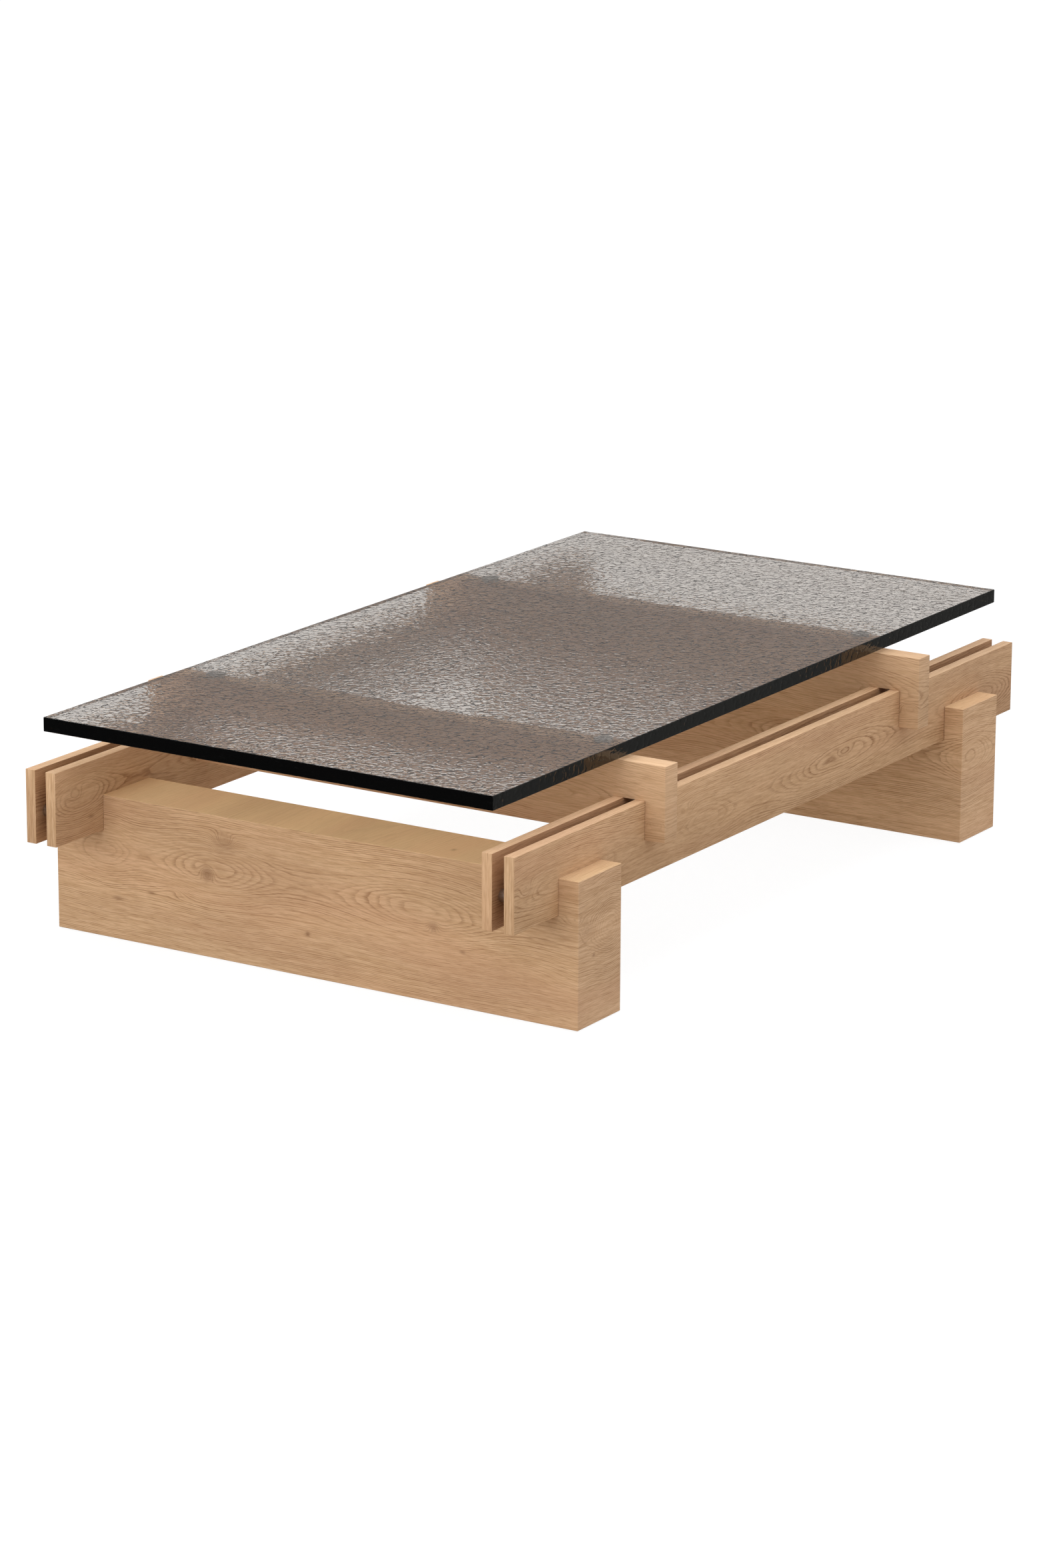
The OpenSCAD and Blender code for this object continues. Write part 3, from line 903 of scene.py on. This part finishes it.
for node, places in (
    ("rail_bolts", [sum(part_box(rail), Vector()).x / 2 for rail in RAILS]),
    ("beam_bolts", [sum(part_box(f"front_{side}_beam_anchor"), Vector()).x / 2 for side in ("left", "right")]),
):
    low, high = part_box(node)
    near_y, far_y = low.y + HEAD_RADIUS, high.y - HEAD_RADIUS
    first = socket_bolt(places[0], near_y, low.z, high.z)
    bolts = [first] + [
        copied(first, "bolt", (x - places[0], y - near_y, 0))
        for x in places for y in (near_y, far_y) if (x, y) != (places[0], near_y)
    ]
    bolts = joined(f"{node}_zinc", bolts)
    bolts.data.materials.append(zinc)
    fit(bolts, node)

for node in ("rail_bolt_washers", "rail_inserts", "beam_inserts", "glass_locating_pins"):
    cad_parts[node].data.materials.clear()
    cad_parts[node].data.materials.append(zinc)


# ---- Glass top ----------------------------------------------------------------------
# One plate of thick bronze-grey smoked glass with a hammered upper face: low swells in
# the plate and narrow creases in its finish. Edges are ground straight, with an arris.

HAMMER_PITCH = 0.0031
HAMMER_SIZE = 0.012
HAMMER_DEPTH = 0.00025
DIMPLE_SCALE = 135.0
DIMPLE_DEPTH = 0.00026
GLASS_ARRIS = 0.0006
SMOKE = (0.50, 0.375, 0.25, 1)
SMOKE_DENSITY = 24.0

glass, glass_shader, glass_places = new_material("smoked_glass")
stray = glass_places.noise(90.0, 1.0)
dimple_places = glass_places.node(
    "ShaderNodeVectorMath", {"operation": "SCALE"}, {0: glass_places, "Scale": DIMPLE_SCALE}
)
dimple_places = dimple_places.node(
    "ShaderNodeVectorMath", {"operation": "ADD"}, {0: dimple_places, 1: stray}
)
dimples = dimple_places.node("ShaderNodeTexVoronoi", {}, {"Vector": dimple_places, "Scale": 1.0})
glass_bump = glass_places.node(
    "ShaderNodeBump",
    {},
    {"Height": 1.0 - dimples.clamp(0.50, 0.85), "Strength": 1.0, "Distance": DIMPLE_DEPTH},
)
feed(
    glass_shader,
    Base_Color=WHITE,
    Roughness=0.0,
    IOR=1.52,
    Transmission_Weight=1.0,
    Normal=glass_bump,
)
smoke = glass_places.node("ShaderNodeVolumeAbsorption", {}, {"Color": SMOKE, "Density": SMOKE_DENSITY})
glass.node_tree.links.new(smoke.socket, glass.node_tree.nodes["Material Output"].inputs["Volume"])

low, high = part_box("glass_top")
size = high - low
face_size = Vector((size.x - 2 * GLASS_ARRIS, size.y - 2 * GLASS_ARRIS, 1))
bpy.ops.object.select_all(action="DESELECT")
bpy.ops.mesh.primitive_grid_add(
    x_subdivisions=round(size.x / HAMMER_PITCH), y_subdivisions=round(size.y / HAMMER_PITCH),
    size=1, location=(0, 0, high.z),
)
sheet = bpy.context.object
sheet.name = "glass_top_hammered"
sheet.scale = face_size
bpy.ops.object.transform_apply(location=True, rotation=True, scale=True)
hammer = bpy.data.textures.new("hammer", "VORONOI")
hammer.distance_metric = "DISTANCE_SQUARED"
hammer.noise_scale = HAMMER_SIZE
hammer.noise_intensity = 1.0
marks = sheet.modifiers.new("marks", "DISPLACE")
marks.texture = hammer
marks.texture_coords = "GLOBAL"
marks.direction = "Z"
marks.strength = -HAMMER_DEPTH
marks.mid_level = 0.0
bpy.ops.object.modifier_apply(modifier=marks.name)
on_bench(sheet)
pick(sheet, "edges", lambda p, e: e.is_boundary)
widen = Vector((size.x / face_size.x, size.y / face_size.y, 1))
narrow = Vector((1 / widen.x, 1 / widen.y, 1))
bpy.ops.mesh.extrude_edges_move(TRANSFORM_OT_translate={"value": (0, 0, -GLASS_ARRIS)})
bpy.ops.transform.resize(value=widen, center_override=(0, 0, high.z))
bpy.ops.mesh.extrude_edges_move(TRANSFORM_OT_translate={"value": (0, 0, -size.z / 2)})
bpy.ops.transform.resize(value=(1, 1, 0), center_override=(0, 0, low.z + GLASS_ARRIS))
bpy.ops.mesh.extrude_edges_move(TRANSFORM_OT_translate={"value": (0, 0, -GLASS_ARRIS)})
bpy.ops.transform.resize(value=narrow, center_override=(0, 0, low.z))
bpy.ops.mesh.edge_face_add()
bpy.ops.mesh.select_all(action="SELECT")
bpy.ops.mesh.normals_make_consistent(inside=False)
off_bench()
sheet.data.materials.append(glass)
fit(sheet, "glass_top", "glass", 38)


# ---- Glass discs, cushions and bushes -----------------------------------------------
# Four bead-blasted steel discs, held under the glass by a thin bond film. Each stands on
# a soft clear ring, and a pin below it drops into a nylon bush, so the top can't slide.

DISC_EDGE = 0.0004
PIN_RADIUS = 0.003
BOND_FILM = 0.0001

blasted, blasted_shader, blasted_places = new_material("bead_blasted_steel")
frosting = blasted_places.noise(900.0, 2.0)
feed(
    blasted_shader,
    Base_Color=blasted_places.mix(frosting, shown(206, 208, 210), shown(186, 188, 190)),
    Metallic=0.35,
    Roughness=frosting * 0.1 + 0.5,
)

low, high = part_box("front_left_glass_disc")
radius, disc_height = (high.x - low.x) / 2, high.z - low.z - BOND_FILM
middle = (low + high) / 2 - Vector((0, 0, BOND_FILM / 2))
bpy.ops.object.select_all(action="DESELECT")
bpy.ops.mesh.primitive_cylinder_add(vertices=96, radius=radius, depth=disc_height, location=middle)
first_disc = bpy.context.object
first_disc.name = "front_left_glass_disc_turned"
bpy.ops.object.transform_apply(location=True, rotation=True, scale=True)
on_bench(first_disc)
pick(first_disc, "faces", lambda p, f: f.normal.z < -0.9)
bpy.ops.mesh.inset(thickness=radius - PIN_RADIUS * 1.02)
bpy.ops.mesh.extrude_region_move(TRANSFORM_OT_translate={"value": (0, 0, PIN_RADIUS)})
pick(
    first_disc, "edges",
    lambda p, e: e.calc_face_angle() > 1 and (p.xy - middle.xy).length > radius * 0.9,
)
bpy.ops.mesh.bevel(offset=DISC_EDGE, segments=2, affect="EDGES")
off_bench()
for end in ("front", "rear"):
    for side in ("left", "right"):
        node = f"{end}_{side}_glass_disc"
        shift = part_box(node)[0] - low
        disc = copied(first_disc, f"{node}_turned", shift) if shift.length > 1e-4 else first_disc
        disc.data.materials.append(blasted)
        fit(disc, node, "glass")

silicone, silicone_shader, silicone_places = new_material("clear_silicone")
haze = silicone_places.noise(300.0, 2.0)
feed(
    silicone_shader,
    Base_Color=silicone_places.mix(haze, shown(226, 226, 222), shown(208, 208, 203)),
    Roughness=haze * 0.2 + 0.35,
    Transmission_Weight=0.5,
    IOR=1.41,
)
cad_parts["disc_cushions"].data.materials.clear()
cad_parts["disc_cushions"].data.materials.append(silicone)

nylon, nylon_shader, nylon_places = new_material("white_nylon")
fleck = nylon_places.noise(400.0, 2.0)
feed(
    nylon_shader,
    Base_Color=nylon_places.mix(fleck, shown(232, 229, 220), shown(218, 214, 203)),
    Roughness=fleck * 0.15 + 0.4,
)
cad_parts["pin_bushes"].data.materials.clear()
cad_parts["pin_bushes"].data.materials.append(nylon)


# ---- Floor glides -------------------------------------------------------------------
# Round pads of dense grey needled felt, stuck under the corners of both blocks.

GLIDE_RADIUS = 0.015
FELT_EDGE = 0.0005

felt, felt_shader, felt_places = new_material("grey_felt")
tangle = felt_places.noise(1400.0, 4.0, 0.65)
felt_bump = felt_places.node(
    "ShaderNodeBump", {}, {"Height": tangle, "Strength": 0.6, "Distance": 0.0006}
)
feed(
    felt_shader,
    Base_Color=felt_places.mix(tangle.clamp(0.35, 0.7), shown(72, 68, 64), shown(116, 111, 105)),
    Roughness=1.0,
    Specular_IOR_Level=0.1,
    Normal=felt_bump,
)
low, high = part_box("floor_glides")
first_x, first_y = low.x + GLIDE_RADIUS, low.y + GLIDE_RADIUS
inset_y = low.y - fore
bpy.ops.object.select_all(action="DESELECT")
bpy.ops.mesh.primitive_cylinder_add(
    vertices=48, radius=GLIDE_RADIUS, depth=high.z - low.z, location=(first_x, first_y, (low.z + high.z) / 2)
)
first_pad = bpy.context.object
bpy.ops.object.transform_apply(location=True, rotation=True, scale=True)
ease(first_pad, FELT_EDGE, lambda p, e: e.calc_face_angle() > 1, 2)
pad_ys = [first_y, back - inset_y - GLIDE_RADIUS]
pad_ys += [y + block_apart for y in pad_ys]
pads = [first_pad] + [
    copied(first_pad, "pad", (x - first_x, y - first_y, 0))
    for x in (first_x, -first_x) for y in pad_ys if (x, y) != (first_x, first_y)
]
pads = joined("floor_glides_felt", pads)
pads.data.materials.append(felt)
fit(pads, "floor_glides")

low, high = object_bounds()
